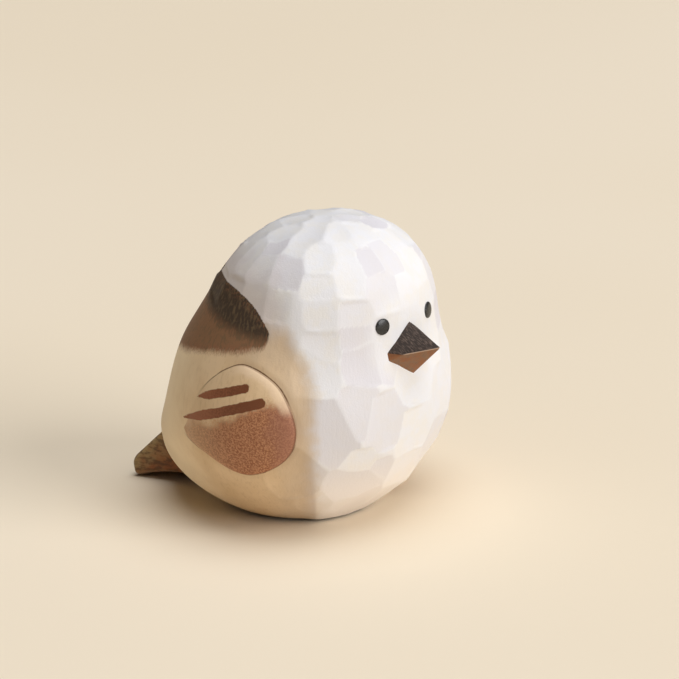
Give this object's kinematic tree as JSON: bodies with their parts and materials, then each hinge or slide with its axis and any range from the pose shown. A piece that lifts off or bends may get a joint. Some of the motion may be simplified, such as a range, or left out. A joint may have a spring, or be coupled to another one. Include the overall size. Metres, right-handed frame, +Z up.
{
  "type": "bird figurine",
  "caption": "Plump carved and painted wooden bird with a faceted white head, inset wings, a pointed beak, bead eyes and a short fanned tail, standing on a flat underside.",
  "frame": {"origin": "on the flat underside, below the middle of the body, in the bird's plane of symmetry", "axes": "+Z up, -Y towards the beak, +X towards the bird's left wing"},
  "size_m": [0.0566, 0.0643, 0.0554],
  "materials": {
    "painted_body": "carved wood, matt white paint in front and tan stain behind",
    "painted_wing": "carved wood, tan with a brown stain and two brown stripes",
    "painted_tail": "carved wood, matt dark brown paint",
    "bare_wood": "turned, unpainted",
    "painted_beak": "carved wood, matt brown paint",
    "eye_bead": "polished black"
  },
  "bodies": {
    "root": {"body": "painted_body", "right_wing": "painted_wing", "left_wing": "painted_wing", "tail": "painted_tail", "tail_dowel": "bare_wood", "beak": "painted_beak", "right_eye": "eye_bead", "left_eye": "eye_bead"}
  },
  "joints": []
}
